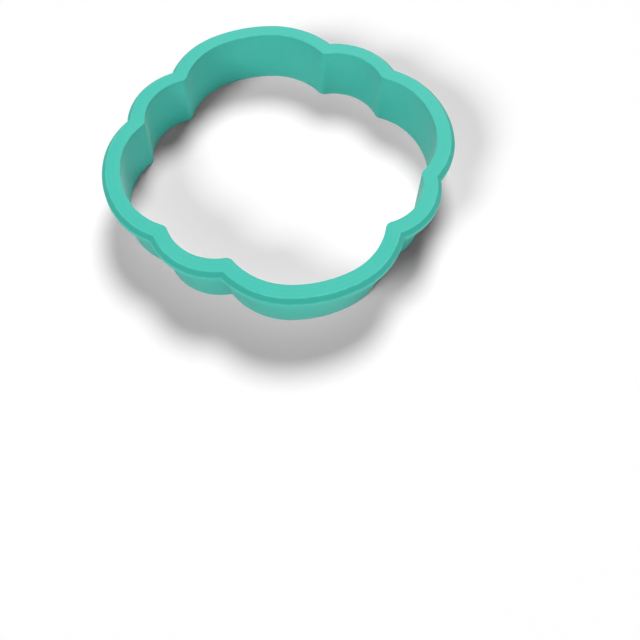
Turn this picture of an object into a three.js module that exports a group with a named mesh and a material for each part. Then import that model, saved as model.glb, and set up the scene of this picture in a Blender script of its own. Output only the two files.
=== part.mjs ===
// A lobed plaque cookie cutter in rigid plastic: a broad flat rim to press on, chamfered round its top,
// a tapering side wall and a thin cutting edge that it stands on. The inside is one straight face.
// Millimetres, +Z up, origin in the middle of the footprint, longest side along X.
import * as THREE from 'three';

// The outline that it cuts, from tip to tip
const CUT_LENGTH = 101.6;
const CUT_WIDTH = 99.6;

// Each side lobe (on X) and end lobe (on Y) is an arch of three arcs: two shoulders, and a flatter
// crown whose centre lies this far behind theirs
const SIDE_SHOULDER_RADIUS = 20.8;
const SIDE_SHOULDER_SPACING = 4.6;
const SIDE_CROWN_DROP = 6.8;
const END_SHOULDER_RADIUS = 21.6;
const END_SHOULDER_SPACING = 7.4;
const END_CROWN_DROP = 14.6;

// Each corner lobe is a single arc
const CORNER_RADIUS = 15.8;
const CORNER_SPACING_X = 48.6;
const CORNER_SPACING_Y = 39.2;

// Where two lobes meet, the inside has a rounded ridge
const RIDGE_RADIUS = 2.5;

// Thicknesses run outwards from the straight inner face
const HEIGHT = 20.65;
const RIM_HEIGHT = 3;
const RIM_WIDTH = 5.85;
const RIM_CHAMFER = 1.4;
const WALL_THICKNESS = 2;
const EDGE_THICKNESS = 1.2;
const EDGE_HEIGHT = 6;

const PLASTIC = { color: 0x3cbead, roughness: 0.45, metalness: 0 };
const ARC_STEPS = 16;
const RIDGE_STEPS = 6;
const MIDDLE = new THREE.Vector2();

/** The arcs of one arched lobe, anticlockwise, with its tip at this distance from the middle. */
function archedLobe(tip, shoulderRadius, shoulderSpacing, crownDrop, turn) {
  const aside = shoulderSpacing / 2;
  const crownRadius = shoulderRadius + Math.hypot(aside, crownDrop);
  const crownX = tip - crownRadius;
  const shoulderX = crownX + crownDrop;
  const arcs = [
    { centre: new THREE.Vector2(shoulderX, -aside), radius: shoulderRadius },
    { centre: new THREE.Vector2(crownX, 0), radius: crownRadius },
    { centre: new THREE.Vector2(shoulderX, aside), radius: shoulderRadius },
  ];
  arcs.forEach((arc) => arc.centre.rotateAround(MIDDLE, turn));
  return arcs;
}

const sideLobe = (turn) =>
  archedLobe(CUT_LENGTH / 2, SIDE_SHOULDER_RADIUS, SIDE_SHOULDER_SPACING, SIDE_CROWN_DROP, turn);

const endLobe = (turn) =>
  archedLobe(CUT_WIDTH / 2, END_SHOULDER_RADIUS, END_SHOULDER_SPACING, END_CROWN_DROP, turn);

const cornerLobe = (signX, signY) => [{
  centre: new THREE.Vector2((signX * CORNER_SPACING_X) / 2, (signY * CORNER_SPACING_Y) / 2),
  radius: CORNER_RADIUS,
}];

// All eight lobes in order round the outline, anticlockwise from the one on +X
const LOBES = [
  sideLobe(0),
  cornerLobe(1, 1),
  endLobe(Math.PI / 2),
  cornerLobe(-1, 1),
  sideLobe(Math.PI),
  cornerLobe(-1, -1),
  endLobe(-Math.PI / 2),
  cornerLobe(1, -1),
];

const headingFrom = (start, end) => Math.atan2(end.y - start.y, end.x - start.x);

/** The crossing of two circles that lies farther from the middle. */
function outerCrossing(centreA, radiusA, centreB, radiusB) {
  const span = new THREE.Vector2().subVectors(centreB, centreA);
  const gap = span.length();
  const along = (gap ** 2 + radiusA ** 2 - radiusB ** 2) / (2 * gap);
  const across = Math.sqrt(radiusA ** 2 - along ** 2);
  span.normalize();
  const foot = centreA.clone().addScaledVector(span, along);
  const normal = new THREE.Vector2(-span.y, span.x);
  const crossings = [across, -across].map((step) => foot.clone().addScaledVector(normal, step));
  return crossings.sort((a, b) => b.length() - a.length())[0];
}

/** Points on an arc from one heading to another, without its last point. The sense is 1 or -1. */
function arcPoints(centre, radius, from, to, sense, steps) {
  const sweep = THREE.MathUtils.euclideanModulo(sense * (to - from), 2 * Math.PI);
  return Array.from({ length: steps }, (_, i) => {
    const heading = from + (sense * sweep * i) / steps;
    return new THREE.Vector2(Math.cos(heading), Math.sin(heading)).multiplyScalar(radius).add(centre);
  });
}

/**
 * The outline moved outwards by an offset, anticlockwise, always with the same number of points.
 * The ridges shrink as it moves out, and past their radius they close up into sharp notches.
 */
function outline(offset) {
  const ridgeRadius = Math.max(RIDGE_RADIUS - offset, 0);
  const clearRadius = (arc) => arc.radius + offset + ridgeRadius;

  // The centre of the ridge before each lobe
  const ridges = LOBES.map((lobe, i) => {
    const before = LOBES.at(i - 1).at(-1);
    return outerCrossing(before.centre, clearRadius(before), lobe[0].centre, clearRadius(lobe[0]));
  });

  return LOBES.flatMap((lobe, i) => {
    const nextLobe = LOBES[(i + 1) % LOBES.length];
    const nextRidge = ridges[(i + 1) % LOBES.length];
    const last = lobe.at(-1);

    // Inside a lobe, neighbouring arcs touch on the line through both of their centres
    const headings = [headingFrom(lobe[0].centre, ridges[i])];
    if (lobe.length > 1) {
      const [lowShoulder, crown, highShoulder] = lobe;
      headings.push(headingFrom(crown.centre, lowShoulder.centre));
      headings.push(headingFrom(crown.centre, highShoulder.centre));
    }
    headings.push(headingFrom(last.centre, nextRidge));

    const lobePoints = lobe.flatMap((arc, k) =>
      arcPoints(arc.centre, arc.radius + offset, headings[k], headings[k + 1], 1, ARC_STEPS));
    const ridgeStart = headingFrom(nextRidge, last.centre);
    const ridgeEnd = headingFrom(nextRidge, nextLobe[0].centre);
    return lobePoints.concat(
      arcPoints(nextRidge, ridgeRadius, ridgeStart, ridgeEnd, -1, RIDGE_STEPS));
  });
}

const raised = (points, z) => points.map((point) => new THREE.Vector3(point.x, point.y, z));

/** Triangles between two loops of as many points, facing out where the second runs above the first. */
function strip(lower, upper) {
  return lower.flatMap((corner, i) => {
    const next = (i + 1) % lower.length;
    const triangles = [
      [corner, lower[next], upper[next]],
      [corner, upper[next], upper[i]],
    ];
    // A sharp notch has all of its ridge points in one place, and no triangle between them
    return triangles.filter(([a, b, c]) => !a.equals(b) && !b.equals(c) && !c.equals(a)).flat();
  });
}

/**
 * A closed ring round the outline. Its section is a list of corners, each an offset and a height, that
 * goes up its outside and back down its inside.
 */
function ring(section) {
  const loops = section.map(([offset, z]) => raised(outline(offset), z));
  const corners = loops.flatMap((loop, i) => strip(loop, loops[(i + 1) % loops.length]));
  const geometry = new THREE.BufferGeometry().setFromPoints(corners);
  geometry.computeVertexNormals();
  return geometry;
}

function piece(name, geometry) {
  const mesh = new THREE.Mesh(geometry, new THREE.MeshStandardMaterial(PLASTIC));
  mesh.name = name;
  return mesh;
}

const rimBottom = HEIGHT - RIM_HEIGHT;

// One slope runs down the outside of the wall and on down the cutting edge
const edgeTopThickness = THREE.MathUtils.mapLinear(EDGE_HEIGHT, 0, rimBottom, EDGE_THICKNESS, WALL_THICKNESS);

const rimSection = [
  [RIM_WIDTH, rimBottom],
  [RIM_WIDTH, HEIGHT - RIM_CHAMFER],
  [RIM_WIDTH - RIM_CHAMFER, HEIGHT],
  [0, HEIGHT],
  [0, rimBottom],
];
const wallSection = [
  [edgeTopThickness, EDGE_HEIGHT],
  [WALL_THICKNESS, rimBottom],
  [0, rimBottom],
  [0, EDGE_HEIGHT],
];
const edgeSection = [
  [EDGE_THICKNESS, 0],
  [edgeTopThickness, EDGE_HEIGHT],
  [0, EDGE_HEIGHT],
  [0, 0],
];

const cutter = new THREE.Group();
cutter.add(
  piece('grip_rim', ring(rimSection)),
  piece('side_wall', ring(wallSection)),
  piece('cutting_edge', ring(edgeSection)),
);

export default cutter;
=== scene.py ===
"""A lobed plaque cookie cutter in satin teal plastic, standing on its cutting edge in a pale studio.

The rim, the side wall and the cutting edge are rings round one outline of arcs. Each ring is swept by
a Geometry Nodes tree from a section with rounded corners, and the three meet flush, as one piece.
"""

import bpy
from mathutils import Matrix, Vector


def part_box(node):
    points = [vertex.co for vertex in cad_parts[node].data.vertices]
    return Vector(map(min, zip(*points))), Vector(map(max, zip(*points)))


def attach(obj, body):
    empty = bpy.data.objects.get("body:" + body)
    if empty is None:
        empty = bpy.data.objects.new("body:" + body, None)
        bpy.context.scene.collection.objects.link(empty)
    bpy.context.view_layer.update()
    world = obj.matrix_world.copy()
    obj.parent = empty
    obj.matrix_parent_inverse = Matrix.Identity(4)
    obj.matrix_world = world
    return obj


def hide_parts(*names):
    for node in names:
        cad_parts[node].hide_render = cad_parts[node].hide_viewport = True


bl_info = {
    "name": "Lobed Cookie Cutter",
    "version": (1, 0, 0),
    "blender": (4, 5, 0),
    "location": "3D View > Sidebar > Cutter",
    "description": "Makes the rings of a lobed cookie cutter, their plastic and their studio",
    "category": "Add Mesh",
}

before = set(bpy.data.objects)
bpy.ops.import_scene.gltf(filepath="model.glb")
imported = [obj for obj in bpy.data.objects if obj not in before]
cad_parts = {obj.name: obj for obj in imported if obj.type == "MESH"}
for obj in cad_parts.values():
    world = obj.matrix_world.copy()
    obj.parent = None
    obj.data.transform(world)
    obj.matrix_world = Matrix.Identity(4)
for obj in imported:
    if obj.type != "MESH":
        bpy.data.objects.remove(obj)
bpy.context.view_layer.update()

import math

import bpy
from mathutils import Euler, Vector

RIM_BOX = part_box("grip_rim")
WALL_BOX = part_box("side_wall")
EDGE_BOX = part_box("cutting_edge")

MILLIMETRE = 0.001
RIM_WIDTH = 5.85 * MILLIMETRE
CUT_LENGTH = RIM_BOX[1][0] - RIM_BOX[0][0] - 2 * RIM_WIDTH
CUT_WIDTH = RIM_BOX[1][1] - RIM_BOX[0][1] - 2 * RIM_WIDTH
WALL_THICKNESS = (WALL_BOX[1][0] - WALL_BOX[0][0] - CUT_LENGTH) / 2
EDGE_TOP_THICKNESS = (EDGE_BOX[1][0] - EDGE_BOX[0][0] - CUT_LENGTH) / 2

PIECES = ("rim", "wall", "edge")

# How finely the rings are made
ARC_STEPS = 56
RIDGE_STEPS = 16
ROUNDING_STEPS = 5
WELD_DISTANCE = 0.001 * MILLIMETRE
CREASE_ANGLE = math.radians(40)

# Patches in the plastic, each with its size and its detail
CLOUDS = (14 * MILLIMETRE, 2.0)
FLECKS = (2.5 * MILLIMETRE, 3.0)
GRAIN = (0.3 * MILLIMETRE, 1.0)

# What flecks and lines add to the clouds, and how far a lighter place is paler too
FLECK_SHARE = 0.5
LINE_SHARE = 0.3
PALING = 0.6

# A face this near to the top or the foot of its section has paths, and the others have layers
FLAT_DEPTH = 0.02 * MILLIMETRE

# How sharp the grooves between lines are, and how high the grain is beside them
GROOVE_POWER = 4.0
GRAIN_RELIEF = 0.35

# Where the noise goes from a faint rub to a whole one
RUB_BREAKS = (0.35, 0.65)
FAINT_RUB = 0.25

# Length over which the chamfer's steps begin
SLOPE_BLEND = 0.12 * MILLIMETRE

# Change of roughness from fleck to fleck, on the chamfer's steps and on rubbed corners
FLECK_ROUGHNESS = 0.12
STEP_ROUGHNESS = 0.2
RUB_POLISH = 0.1

PLASTIC_IOR = 1.46
SHEEN_ROUGHNESS = 0.5

# The sensor's width is in millimetres, as Blender has it
SENSOR_WIDTH = 36.0
CLIP_START = 10 * MILLIMETRE


def length(name, description, default):
    """A length that a user may change, in metres."""
    return bpy.props.FloatProperty(
        name=name, description=description, default=default, min=0.0, precision=5, unit="LENGTH")


def share(name, description, default):
    """A plain number from 0 to 1."""
    return bpy.props.FloatProperty(
        name=name, description=description, default=default, min=0.0, max=1.0, subtype="FACTOR")


def colour(name, description, default):
    """A colour, in linear values."""
    return bpy.props.FloatVectorProperty(
        name=name, description=description, default=default, size=3, min=0.0, max=1.0, subtype="COLOR")


def angle(name, description, degrees):
    """An angle, given in degrees."""
    return bpy.props.FloatProperty(
        name=name, description=description, default=math.radians(degrees), subtype="ANGLE")


class CutterOutline(bpy.types.PropertyGroup):
    """The outline that the cutter cuts, and how far each ring stands out from it."""

    cut_length: length("Cut length", "Tip to tip along X", CUT_LENGTH)
    cut_width: length("Cut width", "Tip to tip along Y", CUT_WIDTH)
    side_shoulder: length("Side shoulder", "Radius of the side lobes' shoulders", 20.8 * MILLIMETRE)
    side_spacing: length("Side spacing", "Between the centres of those shoulders", 4.6 * MILLIMETRE)
    side_drop: length("Side crown drop", "Crown's centre behind the shoulders'", 6.8 * MILLIMETRE)
    end_shoulder: length("End shoulder", "Radius of the end lobes' shoulders", 21.6 * MILLIMETRE)
    end_spacing: length("End spacing", "Between the centres of those shoulders", 7.4 * MILLIMETRE)
    end_drop: length("End crown drop", "Crown's centre behind the shoulders'", 14.6 * MILLIMETRE)
    corner_radius: length("Corner lobe", "Radius of the corner lobes", 15.8 * MILLIMETRE)
    corner_spacing_x: length("Corner spacing X", "Between corner centres along X", 48.6 * MILLIMETRE)
    corner_spacing_y: length("Corner spacing Y", "Between corner centres along Y", 39.2 * MILLIMETRE)
    ridge_radius: length("Ridge", "Rounding of the ridges between lobes, inside", 2.5 * MILLIMETRE)
    rim_width: length("Rim width", "Rim's reach from the inner face", RIM_WIDTH)
    wall_thickness: length("Wall thickness", "Wall under the rim", WALL_THICKNESS)
    edge_top: length("Edge thickness, top", "Where the edge meets the wall", EDGE_TOP_THICKNESS)
    edge_foot: length("Edge thickness, foot", "The land that it stands on", 1.2 * MILLIMETRE)
    rim_chamfer: length("Rim chamfer", "Chamfer round the rim's top, at 45 degrees", 1.4 * MILLIMETRE)
    rim_rounding: length("Rim rounding", "Radius along the rim's free edges", 0.22 * MILLIMETRE)
    foot_rounding: length("Foot rounding", "Radius along the cutting foot", 0.2 * MILLIMETRE)


class CutterFinish(bpy.types.PropertyGroup):
    """The look of the printed plastic."""

    plastic: colour("Plastic", "Colour of the plastic", (0.0395, 0.477, 0.386))
    unevenness: share("Unevenness", "How far the colour varies", 0.07)
    bounce: colour("Bounce", "What the plastic throws on its surroundings", (0.31, 0.31, 0.31))
    roughness: share("Roughness", "Roughness of the satin surface", 0.59)
    gloss: share("Gloss", "Strength of the satin's reflections", 0.28)
    sheen: share("Sheen", "How far the fine grain pales the plastic at a slant", 0.15)
    layer_height: length("Layer height", "Height of one printed layer", 0.2 * MILLIMETRE)
    line_width: length("Line width", "Width of one printed line on the flat faces", 0.45 * MILLIMETRE)
    line_depth: length("Line depth", "Depth of the grooves between lines", 0.006 * MILLIMETRE)
    relief: share("Relief", "Strength of the lines and the grain", 0.4)
    # Painted shade: darkens the chamfer's colour where its printed steps would shade each other
    painted_step_shade: share("Step shade", "How far the steps on the chamfer shade each other", 0.18)
    # Paler colour of rubbed corners, partly wear and partly a painted highlight along them
    rubbed: colour("Rubbed", "Colour of rubbed corners", (0.12, 0.62, 0.52))
    rub: share("Rub", "How far rubbed corners take their colour", 0.35)
    rub_reach: length("Rub reach", "Reach of the rub from a corner", 0.5 * MILLIMETRE)


class CutterStage(bpy.types.PropertyGroup):
    """The floor, the camera and the lights."""

    floor: colour("Floor", "Colour of the floor", (1.0, 1.0, 1.0))
    floor_side: length("Floor side", "Side of the square floor", 2.0)
    sky: share("Sky", "Level of the even light from all round", 0.0)
    camera_azimuth: angle("Camera azimuth", "Turn of the camera about Z, from the front", -14.23)
    camera_elevation: angle("Camera elevation", "Height of the camera above the horizon", 57.91)
    camera_distance: length("Camera distance", "From the aim point", 0.2673)
    camera_aim: bpy.props.FloatVectorProperty(
        name="Camera aim", description="Point that the lens axis meets the floor at",
        default=(-0.00156, -0.01917, 0.0), subtype="XYZ", unit="LENGTH")
    focal_length: bpy.props.FloatProperty(
        name="Focal length", description="On a sensor 36 mm wide", default=46.139, unit="CAMERA")
    shift: bpy.props.FloatVectorProperty(
        name="Lens shift", description="Framing of the photograph, in picture widths",
        default=(0.0461, -0.1367), size=2)


# The outline


def arched_lobe(tip, shoulder_radius, spacing, drop, turn):
    """The (centre, radius) arcs of a lobe of two shoulders and a crown, anticlockwise."""
    aside = spacing / 2
    crown_radius = shoulder_radius + math.hypot(aside, drop)
    crown_x = tip - crown_radius
    spin = Euler((0, 0, turn)).to_matrix()
    arcs = (
        (Vector((crown_x + drop, -aside, 0)), shoulder_radius),
        (Vector((crown_x, 0, 0)), crown_radius),
        (Vector((crown_x + drop, aside, 0)), shoulder_radius),
    )
    return [(spin @ centre, radius) for centre, radius in arcs]


def all_lobes(o):
    """The eight lobes in order, anticlockwise from the one on +X."""
    side = (o.cut_length / 2, o.side_shoulder, o.side_spacing, o.side_drop)
    end = (o.cut_width / 2, o.end_shoulder, o.end_spacing, o.end_drop)
    quarters = ((side, 1, 1), (end, -1, 1), (side, -1, -1), (end, 1, -1))
    lobes = []
    for quarter, (sizes, sign_x, sign_y) in enumerate(quarters):
        lobes.append(arched_lobe(*sizes, turn=quarter * math.pi / 2))
        centre = Vector((sign_x * o.corner_spacing_x / 2, sign_y * o.corner_spacing_y / 2, 0))
        lobes.append([(centre, o.corner_radius)])
    return lobes


def heading(start, end):
    """The direction from one point to another in the plan, as an angle."""
    return math.atan2(end.y - start.y, end.x - start.x)


def outer_crossing(centre_a, radius_a, centre_b, radius_b):
    """The crossing of two circles that lies farther from the middle."""
    span = centre_b - centre_a
    gap = span.length
    along = (gap ** 2 + radius_a ** 2 - radius_b ** 2) / (2 * gap)
    across = math.sqrt(radius_a ** 2 - along ** 2)
    span.normalize()
    foot = centre_a + span * along
    normal = Vector((-span.y, span.x, 0))
    return max(foot + normal * across, foot - normal * across, key=lambda place: place.length)


def arc_points(centre, radius, start, end, sense, steps):
    """Points on an arc without its last one. The sense is 1 for anticlockwise or -1."""
    sweep = (sense * (end - start)) % (2 * math.pi)
    headings = [start + sense * sweep * i / steps for i in range(steps)]
    return [centre + radius * Vector((math.cos(h), math.sin(h), 0)) for h in headings]


def outline(o, offset):
    """The outline moved outwards by an offset, always with as many points.

    The ridges shrink as it moves out, and past their radius they close up into sharp notches.
    """
    lobes = all_lobes(o)
    ridge_radius = max(o.ridge_radius - offset, 0.0)
    clear = offset + ridge_radius
    ridges = []
    for i, lobe in enumerate(lobes):
        centre_a, radius_a = lobes[i - 1][-1]
        centre_b, radius_b = lobe[0]
        ridges.append(outer_crossing(centre_a, radius_a + clear, centre_b, radius_b + clear))

    points = []
    for i, lobe in enumerate(lobes):
        following = (i + 1) % len(lobes)
        last_centre = lobe[-1][0]
        headings = [heading(lobe[0][0], ridges[i])]
        if len(lobe) > 1:
            crown = lobe[1][0]
            headings += [heading(crown, lobe[0][0]), heading(crown, lobe[2][0])]
        headings.append(heading(last_centre, ridges[following]))
        for (centre, radius), start, end in zip(lobe, headings, headings[1:]):
            points += arc_points(centre, radius + offset, start, end, 1, ARC_STEPS)
        ridge = ridges[following]
        start = heading(ridge, last_centre)
        end = heading(ridge, lobes[following][0][0])
        points += arc_points(ridge, ridge_radius, start, end, -1, RIDGE_STEPS)
    return points


# Node trees

# Kinds of sockets
FLOAT = "NodeSocketFloat"
VECTOR = "NodeSocketVector"
COLOUR = "NodeSocketColor"
GEOMETRY = "NodeSocketGeometry"

# Where a Mix node has its two values and its result, for each kind of value
MIX_SOCKETS = {"FLOAT": (2, 3, 0), "VECTOR": (4, 5, 1), "RGBA": (6, 7, 2)}


def make_node(tree, kind, **settings):
    """A new node with these settings."""
    node = tree.nodes.new(kind)
    for name, value in settings.items():
        setattr(node, name, value)
    return node


def feed(tree, sockets, values):
    """Links each value that is a socket, and sets the others as defaults."""
    for socket, value in zip(sockets, values):
        if isinstance(value, bpy.types.NodeSocket):
            tree.links.new(value, socket)
        else:
            socket.default_value = value


def feed_named(tree, node, values):
    """Feeds a node's inputs by their names."""
    for name, value in values.items():
        feed(tree, (node.inputs[name],), (value,))


def step(tree, kind, values, **settings):
    """A new node with its inputs fed by name. Returns its first output."""
    node = make_node(tree, kind, **settings)
    feed_named(tree, node, values)
    return node.outputs[0]


def math_node(tree, operation, *values):
    """A Math node; each value is a number or the socket that feeds it. Returns its output."""
    node = make_node(tree, "ShaderNodeMath", operation=operation)
    feed(tree, node.inputs, values)
    return node.outputs[0]


def vector_node(tree, operation, *values):
    """A Vector Math node; each value is a vector or the socket that feeds it. Returns its outputs."""
    node = make_node(tree, "ShaderNodeVectorMath", operation=operation)
    feed(tree, node.inputs, values)
    return node.outputs


def mixed(tree, kind, factor, start, end):
    """A value part of the way from one to another, of the kind FLOAT, VECTOR or RGBA."""
    node = make_node(tree, "ShaderNodeMix", data_type=kind)
    first, second, result = MIX_SOCKETS[kind]
    feed(tree, (node.inputs[0], node.inputs[first], node.inputs[second]), (factor, start, end))
    return node.outputs[result]


def point(tree, x=0.0, y=0.0, z=0.0):
    """A vector made from its parts."""
    node = make_node(tree, "ShaderNodeCombineXYZ")
    feed(tree, node.inputs, (x, y, z))
    return node.outputs[0]


def parts_of(tree, vector):
    """The X, Y and Z of a vector."""
    node = make_node(tree, "ShaderNodeSeparateXYZ")
    feed(tree, node.inputs, (vector,))
    return node.outputs


def pick(tree, kind, index, values):
    """An Index Switch between values of one kind."""
    node = make_node(tree, "GeometryNodeIndexSwitch", data_type=kind)
    while len(node.index_switch_items) < len(values):
        node.index_switch_items.new()
    feed(tree, node.inputs, (index, *values))
    return node.outputs[0]


def choose(tree, kind, flag, otherwise, chosen):
    """A Switch between two values of one kind."""
    node = make_node(tree, "GeometryNodeSwitch", input_type=kind)
    feed(tree, node.inputs, (flag, otherwise, chosen))
    return node.outputs[0]


def new_tree(name, kind, inputs, outputs):
    """A new node group, as its tree, the sockets that it is given and those that it puts out."""
    tree = bpy.data.node_groups.new(name, kind)
    for socket, socket_kind in inputs:
        tree.interface.new_socket(socket, in_out="INPUT", socket_type=socket_kind)
    for socket, socket_kind in outputs:
        tree.interface.new_socket(socket, in_out="OUTPUT", socket_type=socket_kind)
    return tree, make_node(tree, "NodeGroupInput").outputs, make_node(tree, "NodeGroupOutput").inputs


def shared_tree(name, build):
    """A node group that is built the first time that it is asked for."""
    return bpy.data.node_groups.get(name) or build(name)


def arrange(tree):
    """Lays the nodes out in rows in the order in which they were made."""
    column_width = 220
    row_height = 260
    rows = 6
    for i, node in enumerate(tree.nodes):
        node.location = (column_width * (i // rows), -row_height * (i % rows))


# The rings

RING_INPUTS = (
    ("Rails", GEOMETRY),
    ("Bottom", FLOAT),
    ("Top", FLOAT),
    ("Width", FLOAT),
    ("Chamfer", FLOAT),
    ("Inner top rounding", FLOAT),
    ("Inner foot rounding", FLOAT),
    ("Outer foot rounding", FLOAT),
    ("Outer top rounding", FLOAT),
    ("Rounding steps", "NodeSocketInt"),
    ("Plastic", "NodeSocketMaterial"),
)


def named_vector(tree, name):
    """A vector attribute of the mesh."""
    node = make_node(tree, "GeometryNodeInputNamedAttribute", data_type="FLOAT_VECTOR")
    feed_named(tree, node, {"Name": name})
    return node.outputs["Attribute"]


def rounded_section(tree, size, height):
    """The ring's section from its inner foot: across in X and up in Y, with its corners rounded.

    It goes down the outside and up the inside, and a chamfer gives it a fifth corner.
    """
    has_chamfer = math_node(tree, "GREATER_THAN", size["Chamfer"], 0.0)
    corners = (
        point(tree, size["Width"], math_node(tree, "SUBTRACT", height, size["Chamfer"])),
        point(tree, size["Width"], 0.0),
        point(tree, 0.0, 0.0),
        point(tree, 0.0, height),
        point(tree, math_node(tree, "SUBTRACT", size["Width"], size["Chamfer"]), height),
    )
    roundings = (
        size["Outer top rounding"],
        size["Outer foot rounding"],
        size["Inner foot rounding"],
        size["Inner top rounding"],
        size["Outer top rounding"],
    )
    index = make_node(tree, "GeometryNodeInputIndex").outputs[0]
    count = choose(tree, "INT", has_chamfer, len(corners) - 1, len(corners))
    line = step(tree, "GeometryNodeMeshLine", {"Count": count}, mode="OFFSET")
    place = step(tree, "GeometryNodeSetPosition",
                 {"Geometry": line, "Position": pick(tree, "VECTOR", index, corners)})
    curve = step(tree, "GeometryNodeMeshToCurve", {"Mesh": place})
    closed = step(tree, "GeometryNodeSetSplineCyclic", {"Geometry": curve, "Cyclic": True})
    radius = pick(tree, "FLOAT", index, roundings)
    fillet = step(tree, "GeometryNodeFilletCurve",
                  {"Curve": closed, "Count": size["Rounding steps"], "Radius": radius}, mode="POLY")

    # Each point keeps its place in the section, for the sweep and for the plastic
    position = make_node(tree, "GeometryNodeInputPosition").outputs[0]
    return step(tree, "GeometryNodeStoreNamedAttribute",
                {"Geometry": fillet, "Name": "section", "Value": position}, data_type="FLOAT_VECTOR")


def build_ring_tree(name):
    """The tree that sweeps a section round the outline, over rails at its corners."""
    tree, size, out = new_tree(name, "GeometryNodeTree", RING_INPUTS, (("Ring", GEOMETRY),))
    height = math_node(tree, "SUBTRACT", size["Top"], size["Bottom"])
    section = rounded_section(tree, size, height)
    rail = step(tree, "GeometryNodeMeshToCurve", {"Mesh": size["Rails"]})
    sweep = step(tree, "GeometryNodeCurveToMesh", {"Curve": rail, "Profile Curve": section})

    # Across the section from the inner rail to the crest's and on to the outer one, which may slope
    place = parts_of(tree, named_vector(tree, "section"))
    across, up = place["X"], place["Y"]
    inner, crest = named_vector(tree, "inner"), named_vector(tree, "crest")
    rise = math_node(tree, "DIVIDE", up, height)
    outer = mixed(tree, "VECTOR", rise, named_vector(tree, "outer_foot"), named_vector(tree, "outer_top"))
    flat = math_node(tree, "SUBTRACT", size["Width"], size["Chamfer"])
    beyond = math_node(tree, "SUBTRACT", across, flat)
    on_chamfer = mixed(tree, "VECTOR", math_node(tree, "DIVIDE", beyond, size["Chamfer"]), crest, outer)
    on_flat = mixed(tree, "VECTOR", math_node(tree, "DIVIDE", across, flat), inner, crest)
    bent = choose(tree, "VECTOR", math_node(tree, "GREATER_THAN", beyond, 0.0), on_flat, on_chamfer)
    plain = mixed(tree, "VECTOR", math_node(tree, "DIVIDE", across, size["Width"]), inner, outer)
    has_chamfer = math_node(tree, "GREATER_THAN", size["Chamfer"], 0.0)
    plan = choose(tree, "VECTOR", has_chamfer, plain, bent)
    level = point(tree, z=math_node(tree, "ADD", up, size["Bottom"]))
    move = step(tree, "GeometryNodeSetPosition",
                {"Geometry": sweep, "Position": vector_node(tree, "ADD", plan, level)["Vector"]})

    weld = step(tree, "GeometryNodeMergeByDistance", {"Geometry": move, "Distance": WELD_DISTANCE})
    smooth = step(tree, "GeometryNodeSetShadeSmooth", {"Geometry": weld}, domain="FACE")
    bend = make_node(tree, "GeometryNodeInputMeshEdgeAngle").outputs["Unsigned Angle"]
    is_sharp = math_node(tree, "GREATER_THAN", bend, CREASE_ANGLE)
    crease = step(tree, "GeometryNodeSetShadeSmooth",
                  {"Geometry": smooth, "Selection": is_sharp, "Shade Smooth": False}, domain="EDGE")
    realize = step(tree, "GeometryNodeRealizeInstances", {"Geometry": crease})
    paint = step(tree, "GeometryNodeSetMaterial", {"Geometry": realize, "Material": size["Plastic"]})
    feed(tree, out, (paint,))
    arrange(tree)
    return tree


def height_of(node):
    """The height of a CAD node."""
    low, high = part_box(node)
    return high[2] - low[2]


def make_ring(name, node, thickness, corners, material):
    """One ring of the cutter at the height of its CAD node, as a plain mesh that stands for it.

    The thickness is a pair, at the foot and at the top. The chamfer and the roundings of its corners
    go by the ring tree's names.
    """
    o = bpy.context.scene.cutter_outline
    low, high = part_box(node)
    foot_thickness, top_thickness = thickness
    inner = outline(o, 0.0)
    count = len(inner)
    rails = bpy.data.meshes.new(name)
    rails.from_pydata(inner, [(i, (i + 1) % count) for i in range(count)], [])
    attributes = {
        "inner": inner,
        "outer_foot": outline(o, foot_thickness),
        "outer_top": outline(o, top_thickness),
        "crest": outline(o, top_thickness - corners.get("Chamfer", 0.0)),
    }
    for attribute, places in attributes.items():
        store = rails.attributes.new(attribute, "FLOAT_VECTOR", "POINT")
        store.data.foreach_set("vector", [value for place in places for value in place])
    piece = bpy.data.objects.new(name, rails)
    bpy.context.collection.objects.link(piece)

    tree = shared_tree("Ring round the outline", build_ring_tree)
    modifier = piece.modifiers.new("Ring", "NODES")
    modifier.node_group = tree
    values = {
        "Bottom": low[2],
        "Top": high[2],
        "Width": foot_thickness,
        "Rounding steps": ROUNDING_STEPS,
        "Plastic": material,
        **corners,
    }
    for item in tree.interface.items_tree:
        if item.in_out == "INPUT" and item.name in values:
            modifier[item.identifier] = values[item.name]

    graph = bpy.context.evaluated_depsgraph_get()
    mesh = bpy.data.meshes.new_from_object(piece.evaluated_get(graph), depsgraph=graph)
    piece.modifiers.clear()
    for attribute in attributes:
        mesh.attributes.remove(mesh.attributes[attribute])
    piece.data = mesh
    bpy.data.meshes.remove(rails)
    mesh.name = name
    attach(piece, "root")
    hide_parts(node)


# The plastic


def object_place(tree):
    """Object coordinates: metres from the cutter's origin."""
    return make_node(tree, "ShaderNodeTexCoord").outputs["Object"]


def noise(tree, size, detail):
    """Noise from 0 to 1 over the object, in patches about this many metres across."""
    return step(tree, "ShaderNodeTexNoise",
                {"Vector": object_place(tree), "Scale": 1 / size, "Detail": detail})


def ramp(tree, value, low, high, at_low, at_high):
    """A smooth step from one value to another between two limits."""
    node = make_node(tree, "ShaderNodeMapRange", interpolation_type="SMOOTHSTEP")
    feed(tree, node.inputs, (value, low, high, at_low, at_high))
    return node.outputs[0]


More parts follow.
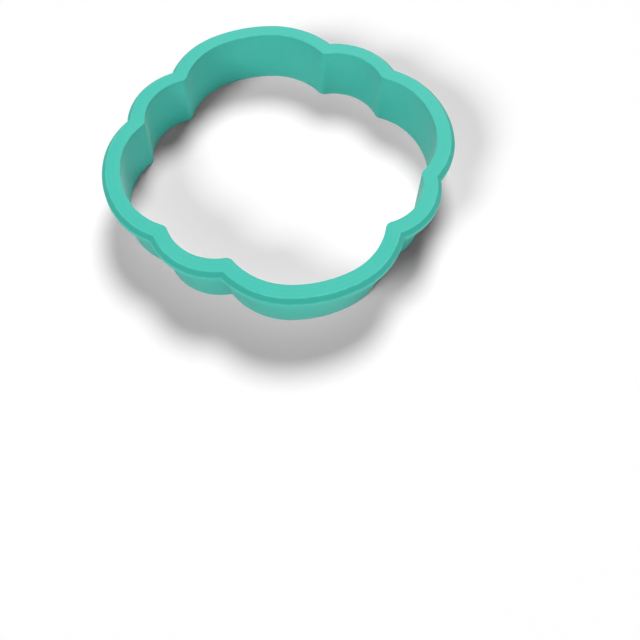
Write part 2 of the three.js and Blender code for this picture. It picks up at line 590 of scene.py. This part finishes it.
def build_lines(name):
    """The printed lines: layers up the upright faces, and paths along the outline on the flat ones.

    Height is the rounded back of each line, and Tone is a value of its own for each line.
    """
    inputs = (("Section", VECTOR), ("Section height", FLOAT),
              ("Layer height", FLOAT), ("Line width", FLOAT))
    tree, given, out = new_tree(name, "ShaderNodeTree", inputs, (("Height", FLOAT), ("Tone", FLOAT)))
    section = parts_of(tree, given["Section"])
    depth = math_node(tree, "SUBTRACT", given["Section height"], section["Y"])
    from_face = math_node(tree, "MINIMUM", depth, section["Y"])
    is_flat = math_node(tree, "LESS_THAN", from_face, FLAT_DEPTH)
    layers = math_node(tree, "DIVIDE", parts_of(tree, object_place(tree))["Z"], given["Layer height"])
    paths = math_node(tree, "DIVIDE", section["X"], given["Line width"])
    lines = mixed(tree, "FLOAT", is_flat, layers, paths)

    # From -1 to 1 across each line
    across = math_node(tree, "MULTIPLY_ADD", math_node(tree, "FRACT", lines), 2.0, -1.0)
    groove = math_node(tree, "POWER", math_node(tree, "ABSOLUTE", across), GROOVE_POWER)
    number = math_node(tree, "FLOOR", lines)
    tone = step(tree, "ShaderNodeTexWhiteNoise", {"W": number}, noise_dimensions="1D")
    feed(tree, out, (math_node(tree, "SUBTRACT", 1.0, groove), tone))
    arrange(tree)
    return tree


def build_pigment(name):
    """The plastic's colour, a little uneven in broad clouds, in flecks and from line to line."""
    inputs = (("Colour", COLOUR), ("Tone", FLOAT), ("Unevenness", FLOAT))
    outputs = (("Colour", COLOUR), ("Mottle", FLOAT), ("Grain", FLOAT))
    tree, given, out = new_tree(name, "ShaderNodeTree", inputs, outputs)
    clouds = noise(tree, *CLOUDS)
    flecks = noise(tree, *FLECKS)
    grain = noise(tree, *GRAIN)
    uneven = math_node(tree, "ADD", clouds, math_node(tree, "MULTIPLY", flecks, FLECK_SHARE))
    uneven = math_node(tree, "MULTIPLY_ADD", given["Tone"], LINE_SHARE, uneven)

    # Each of the three is one half on average
    average = (1 + FLECK_SHARE + LINE_SHARE) / 2
    swing = math_node(tree, "MULTIPLY", math_node(tree, "SUBTRACT", uneven, average), given["Unevenness"])
    varied = step(tree, "ShaderNodeHueSaturation", {
        "Saturation": math_node(tree, "MULTIPLY_ADD", swing, -PALING, 1.0),
        "Value": math_node(tree, "ADD", swing, 1.0),
        "Color": given["Colour"],
    })
    feed(tree, out, (varied, flecks, grain))
    arrange(tree)
    return tree


def build_rub_and_highlight(name):
    """Where hands and boards rub the corners of a section, paler both as wear and as a painted highlight:
    a broken line along each of them.
    """
    inputs = (("Section", VECTOR), ("Width", FLOAT), ("Section height", FLOAT), ("Chamfer", FLOAT),
              ("Top", FLOAT), ("Foot", FLOAT), ("Reach", FLOAT))
    tree, given, out = new_tree(name, "ShaderNodeTree", inputs, (("Mask", FLOAT),))
    width, height, chamfer = given["Width"], given["Section height"], given["Chamfer"]
    top_corners = (
        point(tree, 0.0, height),
        point(tree, math_node(tree, "SUBTRACT", width, chamfer), height),
        point(tree, width, math_node(tree, "SUBTRACT", height, chamfer)),
    )
    foot_corners = (point(tree, 0.0, 0.0), point(tree, width, 0.0))
    worn = 0.0
    for corners, amount in ((top_corners, given["Top"]), (foot_corners, given["Foot"])):
        for corner in corners:
            away = vector_node(tree, "DISTANCE", given["Section"], corner)["Value"]
            near = ramp(tree, away, 0.0, given["Reach"], amount, 0.0)
            worn = math_node(tree, "MAXIMUM", near, worn)
    broken = ramp(tree, noise(tree, *FLECKS), *RUB_BREAKS, FAINT_RUB, 1.0)
    feed(tree, out, (math_node(tree, "MULTIPLY", worn, broken),))
    arrange(tree)
    return tree


def use_group(tree, name, build, values):
    """A shared shader group in a material, fed by name. Returns its outputs."""
    node = make_node(tree, "ShaderNodeGroup", node_tree=shared_tree(name, build))
    feed_named(tree, node, values)
    return node.outputs


def chamfer_steps(tree, section, width, height, chamfer):
    """A mask of the chamfer, where the printed layers end in steps. It drives painted shade in the colour
    there, and a rougher surface.
    """
    places = parts_of(tree, section)
    sides = []
    for place, size in ((places["X"], width), (places["Y"], height)):
        start = size - chamfer
        sides.append(ramp(tree, place, start, start + SLOPE_BLEND, 0.0, 1.0))
    return math_node(tree, "MULTIPLY", *sides)


def plastic(name, width, height, chamfer=0.0, top=0.0, foot=0.0):
    """Satin plastic for a ring with a section of this size, rubbed at its top or foot corners. Its
    chamfer gets painted shade, and its rubbed corners a paler colour that is also a painted highlight.
    """
    finish = bpy.context.scene.cutter_finish
    material = bpy.data.materials.new(name)
    material.use_nodes = True
    tree = material.node_tree
    section = make_node(tree, "ShaderNodeAttribute", attribute_name="section").outputs["Vector"]
    lines = use_group(tree, "Printed lines", build_lines, {
        "Section": section,
        "Section height": height,
        "Layer height": finish.layer_height,
        "Line width": finish.line_width,
    })
    pigment = use_group(tree, "Uneven pigment", build_pigment, {
        "Colour": (*finish.plastic, 1.0),
        "Tone": lines["Tone"],
        "Unevenness": finish.unevenness,
    })
    seen = pigment["Colour"]
    rough = math_node(tree, "MULTIPLY_ADD", pigment["Mottle"], FLECK_ROUGHNESS,
                      finish.roughness - FLECK_ROUGHNESS / 2)
    if chamfer:
        steps = chamfer_steps(tree, section, width, height, chamfer)
        # Painted shade: the chamfer's colour is darkened towards black, standing in for its steps shading
        # each other
        shade = math_node(tree, "MULTIPLY", steps, finish.painted_step_shade)
        seen = mixed(tree, "RGBA", shade, seen, (0.0, 0.0, 0.0, 1.0))
        rough = math_node(tree, "MULTIPLY_ADD", steps, STEP_ROUGHNESS, rough)
    if top or foot:
        rub = use_group(tree, "Rubbed corners and painted highlight", build_rub_and_highlight, {
            "Section": section,
            "Width": width,
            "Section height": height,
            "Chamfer": chamfer,
            "Top": top,
            "Foot": foot,
            "Reach": finish.rub_reach,
        })["Mask"]
        # Rubbed corners turn paler and smoother; the paler colour is also a painted highlight along them
        rub_and_highlight_share = math_node(tree, "MULTIPLY", rub, finish.rub)
        seen = mixed(tree, "RGBA", rub_and_highlight_share, seen, (*finish.rubbed, 1.0))
        rough = math_node(tree, "MULTIPLY_ADD", rub, -RUB_POLISH, rough)

    is_bounce = make_node(tree, "ShaderNodeLightPath").outputs["Is Diffuse Ray"]
    relief = math_node(tree, "MULTIPLY_ADD", pigment["Grain"], GRAIN_RELIEF, lines["Height"])
    bump = step(tree, "ShaderNodeBump",
                {"Strength": finish.relief, "Distance": finish.line_depth, "Height": relief})
    feed_named(tree, tree.nodes["Principled BSDF"], {
        "Base Color": mixed(tree, "RGBA", is_bounce, seen, (*finish.bounce, 1.0)),
        "Roughness": rough,
        "Normal": bump,
        "IOR": PLASTIC_IOR,
        "Specular IOR Level": finish.gloss,
        "Sheen Weight": finish.sheen,
        "Sheen Roughness": SHEEN_ROUGHNESS,
    })
    arrange(tree)
    return material


# The pieces


class CUTTER_OT_grip_rim(bpy.types.Operator):
    """Makes the broad flat rim that the palm presses on"""

    bl_idname = "cutter.grip_rim"
    bl_label = "Grip Rim"

    def execute(self, context):
        o = context.scene.cutter_outline
        corners = {
            "Chamfer": o.rim_chamfer,
            "Inner top rounding": o.rim_rounding,
            "Outer foot rounding": o.rim_rounding,
            "Outer top rounding": o.rim_rounding,
        }
        material = plastic("Rim plastic", o.rim_width, height_of("grip_rim"), o.rim_chamfer, top=1.0)
        make_ring("rim", "grip_rim", (o.rim_width, o.rim_width), corners, material)
        return {"FINISHED"}


class CUTTER_OT_side_wall(bpy.types.Operator):
    """Makes the wall under the rim, which draws in towards the edge"""

    bl_idname = "cutter.side_wall"
    bl_label = "Side Wall"

    def execute(self, context):
        o = context.scene.cutter_outline
        material = plastic("Wall plastic", o.edge_top, height_of("side_wall"))
        make_ring("wall", "side_wall", (o.edge_top, o.wall_thickness), {}, material)
        return {"FINISHED"}


class CUTTER_OT_cutting_edge(bpy.types.Operator):
    """Makes the thin band that cuts and that the cutter stands on"""

    bl_idname = "cutter.cutting_edge"
    bl_label = "Cutting Edge"

    def execute(self, context):
        o = context.scene.cutter_outline
        corners = {"Inner foot rounding": o.foot_rounding, "Outer foot rounding": o.foot_rounding}
        material = plastic("Edge plastic", o.edge_foot, height_of("cutting_edge"), foot=1.0)
        make_ring("edge", "cutting_edge", (o.edge_foot, o.edge_top), corners, material)
        return {"FINISHED"}


# The stage


def direction(azimuth, elevation):
    """The unit vector from the middle towards a place seen at this turn and height."""
    flat = math.cos(elevation)
    return Vector((math.sin(azimuth) * flat, -math.cos(azimuth) * flat, math.sin(elevation)))


def look_at(thing, place, aim):
    """Puts a camera or a lamp at a place, turned towards its aim with its top up."""
    thing.location = place
    thing.rotation_euler = (aim - place).to_track_quat("-Z", "Y").to_euler()


def add_camera(s):
    """The camera of the photograph."""
    data = bpy.data.cameras.new("Camera")
    data.sensor_width = SENSOR_WIDTH
    data.lens = s.focal_length
    data.shift_x, data.shift_y = s.shift
    data.clip_start = CLIP_START
    camera = bpy.data.objects.new("Camera", data)
    bpy.context.collection.objects.link(camera)
    aim = Vector(s.camera_aim)
    look_at(camera, aim + s.camera_distance * direction(s.camera_azimuth, s.camera_elevation), aim)
    bpy.context.scene.camera = camera


def add_lamp(name, azimuth, elevation, breadth, level):
    """A soft round lamp far off. Its angles and its breadth, as seen from the cutter, are in degrees.

    At level 1 it alone lights a white card that faces it to white.
    """
    data = bpy.data.lights.new(name, "SUN")
    data.angle = math.radians(breadth)
    data.energy = level * math.pi
    lamp = bpy.data.objects.new(name, data)
    bpy.context.collection.objects.link(lamp)
    towards = direction(math.radians(azimuth), math.radians(elevation))
    look_at(lamp, towards, Vector())
    return lamp


def is_seen(tree):
    """1 for rays that show a surface, in the picture or in a reflection, and 0 for those that light."""
    rays = make_node(tree, "ShaderNodeLightPath").outputs
    mirrored = math_node(tree, "MAXIMUM", rays["Is Glossy Ray"], rays["Is Transmission Ray"])
    return math_node(tree, "MAXIMUM", rays["Is Camera Ray"], mirrored)


def add_floor(s):
    """A plain pale floor that the cutter stands on."""
    half = s.floor_side / 2
    mesh = bpy.data.meshes.new("floor")
    corners = [(-half, -half, 0), (half, -half, 0), (half, half, 0), (-half, half, 0)]
    mesh.from_pydata(corners, [], [(0, 1, 2, 3)])
    material = bpy.data.materials.new("Floor")
    material.use_nodes = True
    tree = material.node_tree
    feed_named(tree, tree.nodes["Principled BSDF"], {
        "Base Color": (*s.floor, 1.0),
        "Roughness": 1.0,
        "Specular IOR Level": 0.0,
    })
    mesh.materials.append(material)
    floor = bpy.data.objects.new("floor", mesh)
    bpy.context.collection.objects.link(floor)


def add_sky(s):
    """A backdrop that is white where it is seen, and that lights only as far as it is set to."""
    world = bpy.data.worlds.new("Studio")
    world.use_nodes = True
    tree = world.node_tree
    feed_named(tree, tree.nodes["Background"], {
        "Color": (1.0, 1.0, 1.0, 1.0),
        "Strength": mixed(tree, "FLOAT", is_seen(tree), s.sky, 1.0),
    })
    arrange(tree)
    bpy.context.scene.world = world


# Name, azimuth, elevation, breadth and level, with angles in degrees
LAMPS = (
    ("Back lamp", 157, 55, 24.5, 0.795),
    ("Left lamp", -61, 35.5, 19, 0.592),
)
# These light the cutter alone, so that the floor keeps its shadows
FILL_LAMPS = (
    ("Front fill", 23, 20, 30, 0.28),
    ("Right fill", 51, 19, 15.5, 0.135),
)


class CUTTER_OT_stage(bpy.types.Operator):
    """Sets the floor, the lights and the camera"""

    bl_idname = "cutter.stage"
    bl_label = "Stage"

    def execute(self, context):
        s = context.scene.cutter_stage
        add_camera(s)
        add_floor(s)
        add_sky(s)
        for lamp in LAMPS:
            add_lamp(*lamp)
        pieces = bpy.data.collections.new("Cutter pieces")
        for name in PIECES:
            pieces.objects.link(bpy.data.objects[name])
        for lamp in FILL_LAMPS:
            add_lamp(*lamp).light_linking.receiver_collection = pieces
        return {"FINISHED"}


class CUTTER_PT_panel(bpy.types.Panel):
    """Lists the pieces of the cutter and its stage"""

    bl_idname = "CUTTER_PT_panel"
    bl_label = "Cookie Cutter"
    bl_space_type = "VIEW_3D"
    bl_region_type = "UI"
    bl_category = "Cutter"

    def draw(self, context):
        for operator in OPERATORS:
            self.layout.operator(operator.bl_idname)


SETTINGS = {"cutter_outline": CutterOutline, "cutter_finish": CutterFinish, "cutter_stage": CutterStage}
OPERATORS = (CUTTER_OT_grip_rim, CUTTER_OT_side_wall, CUTTER_OT_cutting_edge, CUTTER_OT_stage)
CLASSES = (*SETTINGS.values(), *OPERATORS, CUTTER_PT_panel)


def register():
    """Registers the classes and gives each scene its settings."""
    for cls in CLASSES:
        bpy.utils.register_class(cls)
    for name, group in SETTINGS.items():
        setattr(bpy.types.Scene, name, bpy.props.PointerProperty(type=group))


def unregister():
    """Takes the settings and the classes away again."""
    for name in SETTINGS:
        delattr(bpy.types.Scene, name)
    for cls in reversed(CLASSES):
        bpy.utils.unregister_class(cls)


def main():
    """Makes the cutter and its stage."""
    register()
    bpy.context.scene.view_settings.view_transform = "Standard"
    bpy.ops.cutter.grip_rim()
    bpy.ops.cutter.side_wall()
    bpy.ops.cutter.cutting_edge()
    bpy.ops.cutter.stage()


if __name__ == "__main__":
    main()
